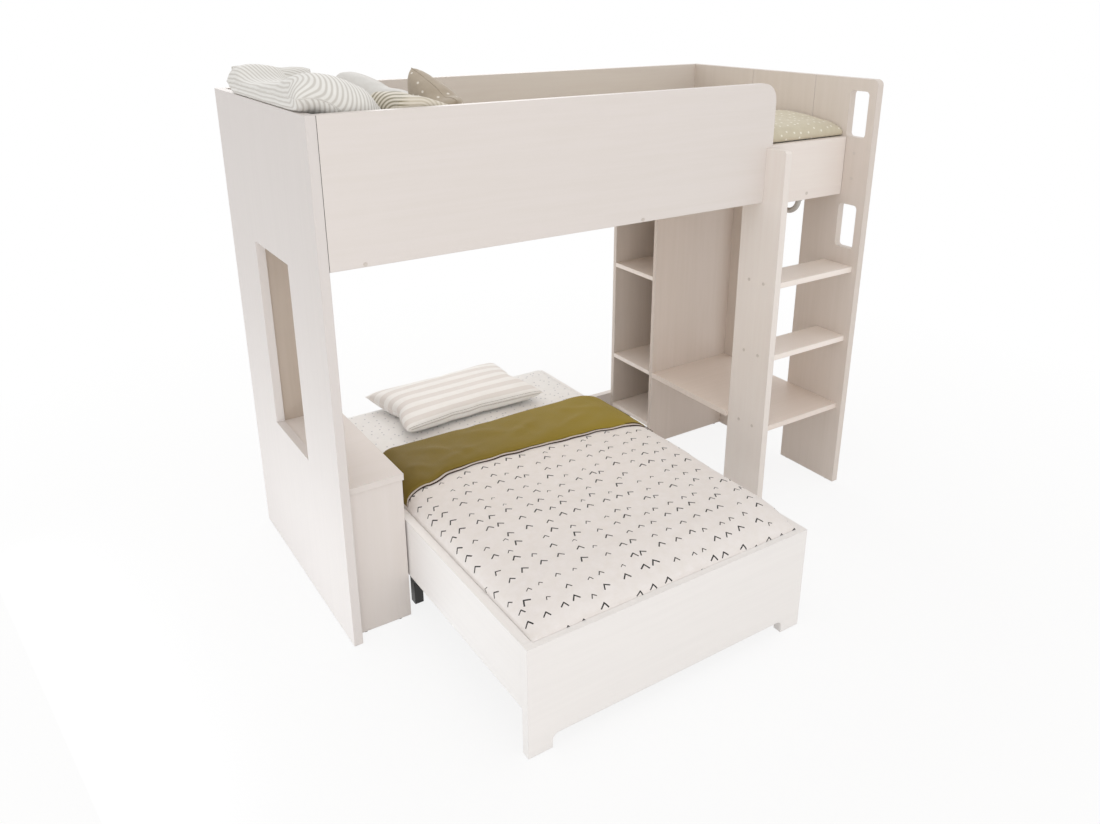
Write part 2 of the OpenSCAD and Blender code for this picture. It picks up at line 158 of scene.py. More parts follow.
upright_board = grained_board("cream board, grain upright", "Z", BOARD_FACE, BOARD_GRAIN)
long_board = grained_board("cream board, grain lengthwise", "X", BOARD_FACE, BOARD_GRAIN)
# Copies of the one board are toned for light: the inner right-hand panels, the left end panel and the back guard are
# painted darker as painted shade, and the entry rail lighter as painted light.
shaded_inner_board = grained_board("inner board, painted shade, grain upright", "Z", (216, 205, 196), (213, 202, 192))
dress(grained_board("end panel board, painted shade", "Z", (219, 212, 208), (217, 210, 206)), "left_end_panel")
dress(shaded_inner_board, "right_front_panel", "right_rear_panel", "right_upper_board")
dress(long_board, "front_guard", "low_stretcher")
dress(grained_board("back guard board, painted shade", "X", (220, 211, 203), (218, 208, 200)), "back_guard")
dress(grained_board("entry rail board, painted light", "X", (235, 226, 219), (233, 223, 216)), "entry_rail")


def bed_point(x, y, z):
    """From millimetres off the guard board's corner to the frame's metres."""
    return np.stack(np.broadcast_arrays((x - 1030) / 1000, (y - 105.5) / 1000, z / 1000), -1)


def mesh_from(name, points, faces, finish):
    data = bpy.data.meshes.new(name)
    data.from_pydata([tuple(p) for p in points], [], faces)
    data.validate()
    data.materials.append(finish)
    data.polygons.foreach_set("use_smooth", [True] * len(data.polygons))
    made = bpy.data.objects.new(name, data)
    bpy.context.scene.collection.objects.link(made)
    return made


def looped(name, rings, finish, flip=False):
    """A closed mesh through a row of closed rings, with a cap at both ends."""
    ring, count = len(rings[0]), len(rings)
    faces = []
    for i in range(count - 1):
        for j in range(ring):
            a, b = i * ring + j, i * ring + (j + 1) % ring
            faces.append([a, a + ring, b + ring, b])
    faces += [list(range(ring)), list(range(count * ring - 1, (count - 1) * ring - 1, -1))]
    return mesh_from(name, np.concatenate(rings), [f[::-1] for f in faces] if flip else faces, finish)


# The open joint between guard and end panel holds a thin dark strip: painted shadow in the joint.
joint_shadow_finish, tree, shader = finish_named("painted joint shadow", 0.7)
streak = add(tree, "TexNoise", Vector=add(tree, "TexCoord", "Object"), Scale=60.0)
coloured(tree, shader, streak, 0.3, 0.7, (58, 50, 45), (72, 64, 58))
turn = np.linspace(0, 2 * math.pi, 12, endpoint=False)
joint_shadow_strip = looped("joint_shadow_strip", [bed_point(28.6 + 0.95 * np.cos(turn), 0.75 + 0.95 * np.sin(turn), z)
                                   for z in (1200.5, 1608.5)], joint_shadow_finish, flip=True)
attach(joint_shadow_strip, "loft")

# ---- Slats and bearers of both beds ----
# Bare planed pine: bearers screwed to the guards and ledges to the side rails, slats laid across
# them. They keep the warm colour and open grain of unfinished wood.

PINE, PINE_GRAIN = (214, 187, 146), (184, 149, 104)


def bare_pine(name, along):
    made, tree, shader = finish_named(name, 0.62)
    stretch = drawn_out(tree, *(0.8 if axis == along else 14 for axis in "XYZ"))
    rings = add(tree, "TexNoise", Vector=stretch, Scale=3.0, Detail=6.0, Distortion=1.4)
    coloured(tree, shader, rings, 0.38, 0.66, PINE_GRAIN, PINE)
    press_in(tree, shader, rings, 0.2, 0.0005, Normal=add(tree, "Bevel", Radius=0.0025))
    return made


dress(bare_pine("pine, grain along X", "X"), "front_bearer", "back_bearer", "low_bed_slats")
dress(bare_pine("pine, grain along Y", "Y"), "high_bed_slats", "left_ledge", "right_ledge", "centre_beam")

# ---- Ladder and bench ----
# The post is a cut panel like the ends. Treads and bench are 21 mm boards, notched round the post
# or screwed to it. Post, treads and bench carry the same face painted a little lighter, as painted light.

lit_tread_board = grained_board("tread board, painted light", "X", (245, 235, 227), (243, 233, 224))
dress(grained_board("ladder board, painted light", "Z", (234, 226, 219), (232, 223, 216)), "ladder_post")
dress(lit_tread_board, "lower_tread", "upper_tread")
dress(grained_board("bench board", "X", (233, 220, 210), (230, 217, 206)), "bench")

# ---- Wardrobe, shelf column and bedside cabinet ----
# Thinner boards, 18 mm, of the same melamine. The cabinet's lid is a thicker board that stands a
# few millimetres proud of its front and side. The partition and the panel behind the cabinet are painted darker,
# as painted shade, and so is the column's rear side; the shelves, column top and cabinet bottom take the treads'
# board, painted lighter as painted light.

dress(grained_board("partition board, painted shade", "Z", (215, 202, 192), (212, 199, 188)), "partition")
dress(grained_board("back panel, painted shade", "Z", (186, 171, 157), (183, 168, 153)), "tower_back")
dress(shaded_inner_board, "column_rear_side")
dress(upright_board, "cabinet_front", "cabinet_side")
dress(lit_tread_board, "column_top", "low_shelf", "middle_shelf", "high_shelf", "cabinet_bottom")
dress(long_board, "cabinet_top")

# ---- Clothes rail ----
# Steel tube, powder-coated warm grey and bent up at its front end. A turned flange at each end
# holds it.

coated_tube, tree, shader = finish_named("powder-coated tube", 0.38)
shader.inputs["Metallic"].default_value = 0.1
orange_peel = add(tree, "TexNoise", Vector=add(tree, "TexCoord", "Object"), Scale=900.0, Detail=2.0)
coloured(tree, shader, orange_peel, 0.35, 0.65, (178, 174, 168), (186, 182, 176))
press_in(tree, shader, orange_peel, 0.15, 0.0002)
dress(coated_tube, "clothes_rail", "rail_flanges")

# ---- Screw caps and glides ----
# Moulded plastic: thin caps pressed over the screw heads, and round glides nailed under every
# board end that meets the floor.


def moulded(name, colour, darker, roughness):
    made, tree, shader = finish_named(name, roughness)
    speck = add(tree, "TexNoise", Vector=add(tree, "TexCoord", "Object"), Scale=260.0, Detail=3.0)
    coloured(tree, shader, speck, 0.3, 0.7, darker, colour)
    feed(tree, shader.inputs["Normal"], add(tree, "Bevel", Radius=0.0006))
    return made


dress(moulded("cap plastic", (212, 203, 195), (205, 196, 187), 0.5), "screw_caps")
dress(moulded("glide plastic", (128, 121, 115), (112, 106, 101), 0.6), "high_bed_glides", "low_bed_glides")

# ---- Boards and legs of the low bed ----
# The same board, painted whiter as painted light. Footboard with its two feet, head rail and side rails are joined
# at the corners; square legs of black lacquered wood carry the ledges and the beam.

LOW_FACES_PAINTED_LIGHTER = (238, 234, 231), (236, 232, 229), (246, 243, 240)
dress(grained_board("low bed board, painted lighter, grain along X", "X", *LOW_FACES_PAINTED_LIGHTER), "footboard", "head_rail")
dress(grained_board("low bed board, painted lighter, grain along Y", "Y", *LOW_FACES_PAINTED_LIGHTER), "left_side_rail", "right_side_rail")
black_lacquer, tree, shader = finish_named("black lacquer", 0.35)
strokes = add(tree, "TexNoise", Vector=drawn_out(tree, 40, 40, 2), Scale=3.0, Detail=4.0)
coloured(tree, shader, strokes, 0.3, 0.7, (18, 17, 16), (32, 31, 30))
feed(tree, shader.inputs["Normal"], add(tree, "Bevel", Radius=0.0015))
dress(black_lacquer, "low_bed_legs")

# ---- Mattresses ----
# Foam mattresses in fitted cotton sheets. The sheet is drawn tight over rounded edges and puckers
# a little near the corners; the low one is white with tiny scattered grey flecks.

SHEET_WHITE = (250, 249, 248)
THREAD = 0.0009


def woven(name, colour, fleck, roughness=0.82, sheen=0.25, crease=0.35):
    """Cotton cloth: a fine weave with slubs. Returns the material and what its colour starts from."""
    made, tree, shader = finish_named(name, roughness, sheen)
    shader.inputs["Sheen Roughness"].default_value = 0.5
    place = add(tree, "TexCoord", "Object")
    warp, weft = (add(tree, "TexWave", "Fac", Vector=place, Scale=0.32 / THREAD, Distortion=0.6, Detail=1.0)
                  for _ in range(2))
    weft.node.bands_direction = "Y"
    slubs = add(tree, "TexNoise", Vector=place, Scale=38.0, Detail=6.0, Roughness=0.62)
    tone = coloured(tree, shader, slubs, 0.25, 0.75, fleck, colour)
    threads = press_in(tree, shader, reckon(tree, "MULTIPLY", warp, weft), 0.25, 0.0004)
    rumple = add(tree, "TexNoise", Vector=place, Scale=16.0, Detail=4.0, Distortion=0.8)
    press_in(tree, shader, rumple, crease, 0.004, Normal=threads)
    return made, tree, shader, tone


def spots(tree, spacing, radius, wander):
    """A scattered round motif: 1 inside a spot, 0 between them, with a soft rim."""
    cells = add(tree, "TexVoronoi", Vector=add(tree, "TexCoord", "UV"), Scale=1 / spacing, Randomness=wander)
    cells.node.voronoi_dimensions = "2D"
    return add(tree, "MapRange", Value=cells, From_Min=1.15 * radius / spacing, From_Max=0.85 * radius / spacing)


def ripple(x, y, seed, wave, amount):
    """Gentle unevenness of cloth: a few crossing swells, the same each time for a seed."""
    chance = np.random.default_rng(seed)
    total = np.zeros(np.broadcast(x, y).shape)
    for _ in range(7):
        turn, phase = chance.uniform(0, 2 * math.pi, 2)
        length = wave * chance.uniform(0.6, 1.6)
        total += np.sin((x * math.cos(turn) + y * math.sin(turn)) * 2 * math.pi / length + phase)
    return total * amount / 3


def foam_block(name, low, high, step, crown, seed, finish, pressed=None, edge=22):
    """A block of foam in a tight cover with rounded edges. pressed gives the height its top is held
    under."""
    low, high = np.array(low, float), np.array(high, float)
    half, middle = (high - low) / 2, (high + low) / 2
    counts = np.maximum((2 * half / step).astype(int), 4)
    found, points, faces = {}, [], []
    for axis in range(3):
        a, b = [k for k in range(3) if k != axis]
        for side in (-1, 1):
            index = {}
            for i in range(counts[a] + 1):
                for j in range(counts[b] + 1):
                    p = np.zeros(3)
                    p[axis] = side * half[axis]
                    p[a] = half[a] * (2 * i / counts[a] - 1)
                    p[b] = half[b] * (2 * j / counts[b] - 1)
                    key = tuple(np.round(p, 3))
                    if key not in found:
                        core = np.clip(p, -(half - edge), half - edge)
                        out = p - core
                        found[key] = len(points)
                        points.append(core + out / np.linalg.norm(out) * edge)
                    index[i, j] = found[key]
            for i in range(counts[a]):
                for j in range(counts[b]):
                    quad = [index[i, j], index[i + 1, j], index[i + 1, j + 1], index[i, j + 1]]
                    turned = (side > 0) == (axis != 1)
                    faces.append(quad if turned else quad[::-1])
    points = np.array(points)
    u, v, w = (points / half).T
    points[:, 2] += crown * np.clip(w, 0, 1) * (1 - u ** 4) * (1 - v ** 4) - crown * np.clip(w, 0, 1)
    pucker = np.clip(np.abs(u) * np.abs(v), 0, 1) ** 6
    points[:, 2] += ripple(points[:, 0], points[:, 1], seed, 260, 1.1) * np.clip(w, 0, 1)
    points[:, 2] += ripple(points[:, 0], points[:, 1], seed + 1, 46, 1.4) * pucker * np.clip(w, 0, 1)
    points += middle
    if pressed:
        upper = points[:, 2] > middle[2]
        points[upper, 2] = np.minimum(points[upper, 2], pressed(points[upper, 0], points[upper, 1]))
    return mesh_from(name, bed_point(*points.T), faces, finish)


def wrap_print(made):
    """Carries a sheet's print down its sides: each face takes it from the direction it looks in."""
    layer = made.data.uv_layers.new(name="print")
    for face in made.data.polygons:
        across, along, up = np.abs(face.normal)
        a, b = (0, 1) if up > 0.6 * max(across, along) else (1, 2) if across > along else (0, 2)
        for corner in face.loop_indices:
            place = made.data.vertices[made.data.loops[corner].vertex_index].co
            layer.data[corner].uv = (place[a], place[b])


flecked_sheet, tree, shader, ground = woven("flecked white sheet", SHEET_WHITE, (243, 242, 240))
over(tree, shader, ground, spots(tree, 0.034, radius=0.0034, wander=0.9), (203, 203, 207))
LEFT, RIGHT, FOOT = 246.0, 1196.0, -653.0
RAIL_TOP = 353.0


def rise(distance, reach, power=2.0):
    """How far a soft edge has climbed at a distance in from its rim, from 0 to 1."""
    return np.sqrt(1 - (1 - np.clip(distance / reach, 0, 1)) ** power)


def tucked(x, y):
    """The foam's top where the quilt's edges are pulled down between it and the boards."""
    left = rise(x - LEFT - 4, np.interp(y, [-644, -80, 90], [130, 110, 74]), 1.6)
    foot = rise(y - FOOT - 4, 130, 1.6)
    right = 0.55 + 0.45 * rise(RIGHT - 4 - x, 60)
    return np.where(y < 300, 334 + 55 * left * foot * right, 400)


low_mattress = foam_block("low_foam_mattress", (255, -635, 250.8), (1187, 808, 388.2), step=20, crown=4,
                          seed=5, finish=flecked_sheet, pressed=tucked)
wrap_print(low_mattress)
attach(low_mattress, "low_mattress")
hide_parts("low_mattress")

plain_sheet = woven("plain white sheet", (236, 233, 229), (226, 222, 217))[0]
high_mattress = foam_block("high_foam_mattress", (38, 38, 1265.8), (2022, 846, 1399.2), step=28, crown=4,
                           seed=9, finish=plain_sheet)
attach(high_mattress, "high_mattress")
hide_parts("high_mattress")

# ---- Duvet of the low bed ----
# Thin quilt in a cotton cover, cream with small dark chevrons on its face and olive on its back.
# Its long edges are tucked between mattress and rails, and its head end is turned back.

DUVET_CREAM = (236, 230, 227)
TICK = (30, 27, 27)


def crease(x, y, start, end, width, height):
    """One soft crease between two points."""
    ax, ay, bx, by = *start, *end
    length = math.hypot(bx - ax, by - ay)
    along = ((x - ax) * (bx - ax) + (y - ay) * (by - ay)) / length ** 2
    across = ((x - ax) * (by - ay) - (y - ay) * (bx - ax)) / length
    return height * np.exp(-(across / width) ** 2) * np.clip(np.sin(np.clip(along, 0, 1) * math.pi), 0, 1)


def duvet_side(x, y):
    """How full the duvet is across the bed: tucked low on the left, standing over the rail on the right."""
    right_lip = np.interp(y, [-644, -560, 60, 112], [0.0, 0.42, 0.42, 0.16])
    left = rise(x - LEFT, np.interp(y, [-644, -80, 90], [150, 120, 74]), 1.7)
    return left * (right_lip + (1 - right_lip) * rise(RIGHT - x, 62))


DUVET_CREASES = [
    ((300, -560), (470, -420), 18, 4.0), ((330, -610), (560, -560), 15, 3.0), ((700, -600), (960, -520), 17, 3.0),
    ((280, -300), (420, -120), 20, -3.5), ((1020, -600), (1150, -430), 16, 3.5), ((980, -250), (1160, -330), 18, 3.0),
    ((560, -180), (760, -60), 24, -3.0), ((300, 20), (420, 110), 15, 4.0), ((860, 60), (1120, 20), 17, 3.0),
]


def duvet_top(x, y):
    """Height of the low duvet's face."""
    body = 410 + 8 * np.clip((y - FOOT) / 700, 0, 1)
    shape = duvet_side(x, y) * rise(y - FOOT, 150, 1.7)
    uneven = ripple(x, y, 21, 340, 3.4) + ripple(x, y, 22, 120, 1.0)
    for start, end, width, height in DUVET_CREASES:
        uneven = uneven + crease(x, y, start, end, width, height)
    return RAIL_TOP + (body - RAIL_TOP) * shape + uneven * shape


def duvet_back(x, y):
    back = np.clip(np.minimum(tucked(x, y) + 1.0, duvet_top(x, y) - 4.0), 342, 389.6)
    return np.where(y < -644.5, np.maximum(back, 352.6), back)


def spaced(low, high, count, edge):
    """Positions across a piece, closer together near both rims."""
    t = np.linspace(0, 1, count)
    t = t + edge * np.sin(2 * math.pi * t) / (-2 * math.pi)
    return low + (high - low) * t


def cloth_lengths(points):
    """Distances along the cloth on a grid of points, from its middle row and column."""
    across = np.linalg.norm(np.diff(points, axis=0), axis=2)
    down = np.linalg.norm(np.diff(points, axis=1), axis=2)
    u = np.concatenate([np.zeros((1, points.shape[1])), np.cumsum(across, axis=0)])
    v = np.concatenate([np.zeros((points.shape[0], 1)), np.cumsum(down, axis=1)], axis=1)
    return np.stack([u - u[len(u) // 2], v - v[:, [v.shape[1] // 2]]], -1)


def print_lines(made, lengths):
    """Lays a printed cloth's own measure on a mesh, one pair of distances for each point."""
    layer = made.data.uv_layers.new(name="cloth")
    flat = lengths.reshape(-1, 2)
    corners = np.empty(len(made.data.loops), dtype=np.int32)
    made.data.loops.foreach_get("vertex_index", corners)
    layer.data.foreach_set("uv", flat[corners].ravel())


def quilt(name, xs, ys, top, bottom, finish):
    """A closed quilt: a face and a back over the same grid, joined round the rim."""
    gx, gy = np.meshgrid(xs, ys, indexing="ij")
    across, deep = gx.shape
    face = bed_point(gx, gy, top(gx, gy))
    back = bed_point(gx, gy, bottom(gx, gy))
    count = across * deep
    faces = []
    for i in range(across - 1):
        for j in range(deep - 1):
            a, b = i * deep + j, (i + 1) * deep + j
            faces.append([a, b, b + 1, a + 1])
            faces.append([count + a + 1, count + b + 1, count + b, count + a])
    rim = [i * deep for i in range(across)] + [(across - 1) * deep + j for j in range(1, deep)]
    rim += [i * deep + deep - 1 for i in range(across - 2, -1, -1)] + list(range(deep - 2, 0, -1))
    for k, a in enumerate(rim):
        b = rim[(k + 1) % len(rim)]
        faces.append([a, count + a, count + b, b])
    made = mesh_from(name, np.concatenate([face.reshape(-1, 3), back.reshape(-1, 3)]), faces, finish)
    lengths = cloth_lengths(face)
    print_lines(made, np.concatenate([lengths.reshape(-1, 2), lengths.reshape(-1, 2)]))
    return made


chevron_cloth, tree, shader, ground = woven("cream cloth with chevrons", DUVET_CREAM, (229, 222, 216))


def chevrons(tree, spacing, arm, width, spread):
    """Scattered small chevrons that point to the head of the bed: 1 on a stroke, 0 between them."""
    calc = partial(reckon, tree)
    place = add(tree, "TexCoord", "UV")
    cells = add(tree, "TexVoronoi", Vector=place, Scale=1 / spacing, Randomness=0.6).node
    cells.voronoi_dimensions = "2D"
    offset = calc("SUBTRACT", place, cells.outputs["Position"], on="VectorMath")
    chance = add(tree, "SeparateColor", Color=cells.outputs["Color"]).node.outputs
    lean = calc("MULTIPLY", calc("SUBTRACT", chance["Red"], 0.5), 0.65)
    turned = add(tree, "VectorRotate", Vector=offset, Angle=lean)
    turned.node.rotation_type = "Z_AXIS"
    local = add(tree, "SeparateXYZ", Vector=turned).node.outputs
    size = calc("ADD", calc("MULTIPLY", calc("POWER", chance["Green"], 0.6), 0.6), 0.5)
    side = calc("DIVIDE", calc("ABSOLUTE", local["X"]), size)
    down = calc("DIVIDE", calc("SUBTRACT", arm * 0.4, local["Y"]), size)
    s, c = math.sin(spread), math.cos(spread)
    along = calc("ADD", calc("MULTIPLY", side, s), calc("MULTIPLY", down, c))
    off = calc("ABSOLUTE", calc("SUBTRACT", calc("MULTIPLY", side, c), calc("MULTIPLY", down, s)))
    on_stroke = calc("LESS_THAN", off, width / 2)
    started = calc("GREATER_THAN", along, -width / 3)
    return calc("MULTIPLY", calc("MULTIPLY", on_stroke, started), calc("LESS_THAN", along, arm))


over(tree, shader, ground, chevrons(tree, 0.055, arm=0.0185, width=0.0042, spread=math.radians(41)), TICK)
HEAD_END = 366.0
low_duvet = quilt("low_quilt", spaced(LEFT, RIGHT, 132, 0.75), spaced(FOOT, HEAD_END, 128, 0.75), duvet_top,
                  duvet_back, chevron_cloth)
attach(low_duvet, "low_duvet")
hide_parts("low_duvet")

# The turned-back end shows the olive back of the cover. It is a second thickness of the quilt: a
# roll at the head end, soft creases from the pull to the left, and a thin sewn edge.

olive_cloth, tree, shader, ground = woven("olive cloth", (118, 98, 18), (113, 93, 16), 0.7, 0.02, 0.2)
# The olive is painted darker toward the left and lighter toward the right: painted shade and painted light across the
# flap.
across = add(tree, "SeparateXYZ", "X", Vector=add(tree, "TexCoord", "Object"))
shade_to_light = add(tree, "MapRange", Value=across, From_Min=-0.72, From_Max=0.12)
over(tree, shader, ground, shade_to_light, (150, 129, 32))
FLAP_END = 1222.0
FLAP_FULL, LIP_ROW = 1100.0, 110.0
ON_RAIL = RAIL_TOP + 0.4


def free_edge(x):
    """Where the turned-back end stops on the duvet's face."""
    bow = np.interp(x, [246, 254, 268, 290, 328, 352, 400, 440, 500, 620, 850, 1010, 1130, 1173, 1222],
                    [110, 118, 118, 113, 106, 114, 134, 142, 146, 149, 141, 122, 97, 88, 80])
    return bow + ripple(x, 0 * x, 31, 180, 1.4)


def flap_over(x, height):
    """Height of the flap: it droops past the bed's right edge and lies on the side rail."""
    return RAIL_TOP + 2 + (height - RAIL_TOP - 2) * rise(FLAP_END - x, 148, 1.8)


TURNBACK_CREASES = [
    ((330, 330), (560, 200), 24, 6.0), ((400, 180), (620, 240), 18, 5.0), ((520, 360), (760, 230), 26, 5.5),
    ((640, 200), (860, 300), 22, 4.5), ((860, 180), (1030, 240), 18, 4.0), ((300, 230), (380, 150), 20, 5.0),
    ((930, 340), (1120, 230), 22, 4.0), ((460, 300), (520, 150), 16, -4.0), ((740, 330), (820, 170), 18, -4.0),
]


def turned_back(name, finish, columns=132, stations=42):
    """The olive layer: each column is one closed loop from its free edge over the top, round the roll and back."""
    points = []
    for x in spaced(LEFT + 0.6, FLAP_END, columns, 0.75):
        inner = min(x, FLAP_FULL)
        start = float(free_edge(x))
        sink = float(duvet_side(inner, LIP_ROW))
        fold = 388 + 5 * math.sin(x / 140) - 12 * (1 - sink) - 4 * float(np.clip((x - 1150) / 70, 0, 1)) ** 2
        t = np.linspace(0, 1, stations)
        y_top = start + (fold - 24 - start) * t
        puff = 9 + 12 * rise(t * (fold - start), 60)
        held = np.minimum(y_top, HEAD_END)
        uneven = ripple(np.full_like(y_top, x), y_top, 33, 210, 1.6)
        for a, b, width, height in TURNBACK_CREASES:
            uneven = uneven + crease(np.full_like(y_top, x), y_top, a, b, width, height)
        uneven = uneven * sink * np.clip(t * 5, 0, 1) * np.clip((1 - t) * 5, 0, 1)
        z_top = flap_over(x, duvet_top(np.full_like(y_top, inner), held) + puff * (0.35 + 0.65 * sink) + uneven)
        quilt_top = duvet_top(np.full_like(y_top, min(x, RIGHT)), held)
        z_top = np.maximum(z_top, quilt_top + 1.5 + 2.0 * (x < RIGHT))
        roll = np.linspace(0, math.pi, 12)[1:]
        foot = 390 * sink + 346 * (1 - sink) if x < 1176 else float(np.interp(x, [1176, 1195], [390, ON_RAIL]))
        half = (z_top[-1] - foot) / 2
        y_roll = y_top[-1] + 24 * np.sin(roll) ** 0.8
        z_roll = z_top[-1] - half + half * np.cos(roll)
        y_low = np.linspace(y_top[-1] - 2, start + 1.5, stations)
        beneath = duvet_top(np.full_like(y_low, min(x, RIGHT)), np.minimum(y_low, HEAD_END)) + 1.0
        if x > RIGHT - 1:
            beneath = np.full_like(y_low, ON_RAIL)
        z_low = np.where(y_low > HEAD_END, z_roll[-1], beneath)
        ys = np.concatenate([y_top, y_roll, y_low])
        zs = np.concatenate([z_top, z_roll, z_low])
        points.append(bed_point(np.full_like(ys, x), ys, zs))
    return looped(name, points, finish)


turnback = turned_back("turned_back_end", olive_cloth)
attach(turnback, "low_duvet")
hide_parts("duvet_fold")


def edge_band(name, back, lift, width, height, finish, columns=150, sides=10):
    """A soft band along the free edge: back is how far it lies behind that edge, lift how high it rides."""
    rings = []
    for x in spaced(LEFT + 1, FLAP_END - 1, columns, 0.75):
        wave = 1.6 * math.sin(x / 37) + 1.2 * math.sin(x / 16 + 1)
        wide = width * (1 + 0.35 * math.sin(x / 41 + back) * (width < 9))
        turn = np.linspace(0, 2 * math.pi, sides, endpoint=False)
        y = float(free_edge(x)) + back + wave * (back < 2) + wide / 2 * np.cos(turn)
        at_edge = float(free_edge(x)) + back
        inner = min(x, FLAP_FULL)
        flap = float(flap_over(x, duvet_top(inner, at_edge)))
        middle = max(flap, float(duvet_top(min(x, RIGHT), at_edge)))
        z = middle + lift * (0.45 + 0.55 * float(duvet_side(inner, LIP_ROW))) + height / 2 * np.sin(turn)
        rings.append(bed_point(np.full_like(y, x), y, z))
    return looped(name, rings, finish)


# The hem tape is the cream cloth painted darker, as painted shade. Of the dark lines, the upper is piping along the
# olive's edge and the lower is painted shadow under the hem.
shaded_hem_cloth = woven("hem tape, painted shade", (216, 206, 198), (210, 199, 190), sheen=0.02)[0]
hem = edge_band("quilt_hem", back=-2.6, lift=3.0, width=9.6, height=5.0, finish=shaded_hem_cloth)
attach(hem, "low_duvet")
piping_and_shadow_cloth = woven("dark piping and painted shadow", (58, 34, 18), (46, 27, 14), sheen=0.0)[0]
for name, back, lift, width in (("upper_edging", 2.6, 6.4, 4.5), ("lower_painted_shadow", -7.6, 1.8, 7.5)):
    edging = edge_band(name, back, lift, width, 3.6, piping_and_shadow_cloth, sides=8)
    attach(edging, "low_duvet")

# ---- Pillow of the low bed ----
# A cover cut as two flat panels, sewn all round and stuffed. The filling is what draws the corners
# into ears and puckers the seam, so the cover starts flat and is blown up before it is laid down.

FILLING_PRESSURE, FILLING_STEPS = 6.0, 26


def stuffed(name, cut, cells, finish, seed):
    """Sews two panels of cut millimetres together and stuffs them. Also returns the seam's points."""
    nx, ny = cells
    chance = np.random.default_rng(seed)
    u, v = np.meshgrid(np.linspace(-1, 1, nx + 1), np.linspace(-1, 1, ny + 1), indexing="ij")
    bulge = (1 - u ** 2) * (1 - v ** 2)
    points, faces, index = [], [], {}
    for layer in (1, -1):
        for i in range(nx + 1):
            for j in range(ny + 1):
                rim = i in (0, nx) or j in (0, ny)
                if rim and layer < 0:
                    index[layer, i, j] = index[1, i, j]
                    continue
                index[layer, i, j] = len(points)
                loose = 0 if rim else chance.uniform(-0.0006, 0.0006)
                points.append((u[i, j] * cut[0] / 2000, v[i, j] * cut[1] / 2000,
                               layer * (0.004 + 0.012 * bulge[i, j]) * (not rim) + loose))
        for i in range(nx):
            for j in range(ny):
                quad = [index[layer, a, b] for a, b in ((i, j), (i + 1, j), (i + 1, j + 1), (i, j + 1))]
                faces.append(quad if layer > 0 else quad[::-1])
    cover = mesh_from(name, points, faces, finish)
    seam = [index[1, i, 0] for i in range(nx)] + [index[1, nx, j] for j in range(ny)]
    seam += [index[1, i, ny] for i in range(nx, 0, -1)] + [index[1, 0, j] for j in range(ny, 0, -1)]
    filling = cover.modifiers.new("filling", "CLOTH")
    cloth = filling.settings
    cloth.quality = 7
    cloth.mass = 0.2
    cloth.tension_stiffness = cloth.compression_stiffness = 18
    cloth.shear_stiffness = 6
    cloth.bending_stiffness = 0.25
    cloth.use_pressure = True
    cloth.uniform_pressure_force = FILLING_PRESSURE
    cloth.effector_weights.gravity = 0
    filling.point_cache.frame_start, filling.point_cache.frame_end = 1, FILLING_STEPS
    for step in range(1, FILLING_STEPS + 1):
        bpy.context.scene.frame_set(step)
    settled = bpy.data.meshes.new_from_object(cover.evaluated_get(bpy.context.evaluated_depsgraph_get()))
    cover.modifiers.remove(filling)
    cover.data = settled
    settled.name = name
    bpy.context.scene.frame_set(1)
    cover.data.polygons.foreach_set("use_smooth", [True] * len(cover.data.polygons))
    return cover, seam


def shape_of(cover):
    points = np.empty(len(cover.data.vertices) * 3)
    cover.data.vertices.foreach_get("co", points)
    return points.reshape(-1, 3)


def lay(cover, size, at, turn, sag=None, rests=(), plump=0.8, ears=0.0):
    """Brings a stuffed cover to size, turns it and puts it at a point in bed millimetres. ears is how far its corners
    are drawn in, sag bends it in its own millimetres, and each of rests presses it against what it lies on."""
    points = shape_of(cover)
    points = (points - (points.max(0) + points.min(0)) / 2) / (points.max(0) - points.min(0)) * 2
    points[:, :2] *= 1 - ears * (points[:, :1] * points[:, 1:2]) ** 2
    points = (points - (points.max(0) + points.min(0)) / 2) / (points.max(0) - points.min(0)) * 2
    points[:, 2] = np.sign(points[:, 2]) * np.abs(points[:, 2]) ** plump
    points *= np.array(size) / 2
    if sag:
        points = sag(points)
    points = points @ np.array(Euler([math.radians(a) for a in turn]).to_matrix()).T + np.array(at)
    ends = np.empty(len(cover.data.edges) * 2, dtype=np.int32)
    cover.data.edges.foreach_get("vertices", ends)
    a, b = ends.reshape(-1, 2).T
    shared = np.bincount(ends, minlength=len(points))[:, None]
    for _ in range(8 if rests else 0):
        for rest in rests:
            points = rest(points)
        drawn = np.zeros_like(points)
        np.add.at(drawn, a, points[b])
        np.add.at(drawn, b, points[a])
        points = points * 0.65 + drawn / shared * 0.35
    for rest in rests:
        points = rest(points)
    cover.data.vertices.foreach_set("co", bed_point(*points.T).ravel())
    cover.data.update()
    return cover


def finer(cover):
    smooth = cover.modifiers.new("finer", "SUBSURF")
    smooth.levels = smooth.render_levels = 1


def above(height):
    """Presses a cover against a flat surface under it."""

    def press(points):
        points[:, 2] = np.maximum(points[:, 2], height)
        return points

    return press


# Its cotton has broad stripes in white and beige along its length, and its front edge a flat flap
# with a seam.

striped_cloth, tree, shader, ground = woven("broad beige stripes", (253, 252, 250), (247, 245, 242))


def in_stripe(tree, distance, period, share, soft):
    """1 inside a stripe and 0 between, by the distance across the stripes."""
    calc = partial(reckon, tree)
    off = calc("ABSOLUTE", calc("SUBTRACT", calc("FRACT", calc("DIVIDE", distance, period)), 0.5))
    return add(tree, "MapRange", Value=off, From_Min=share / 2 + soft, From_Max=share / 2 - soft)


across = add(tree, "SeparateXYZ", "Y", Vector=add(tree, "TexCoord", "UV"))
over(tree, shader, ground, in_stripe(tree, across, 0.066, share=0.5, soft=0.03), (235, 230, 226))


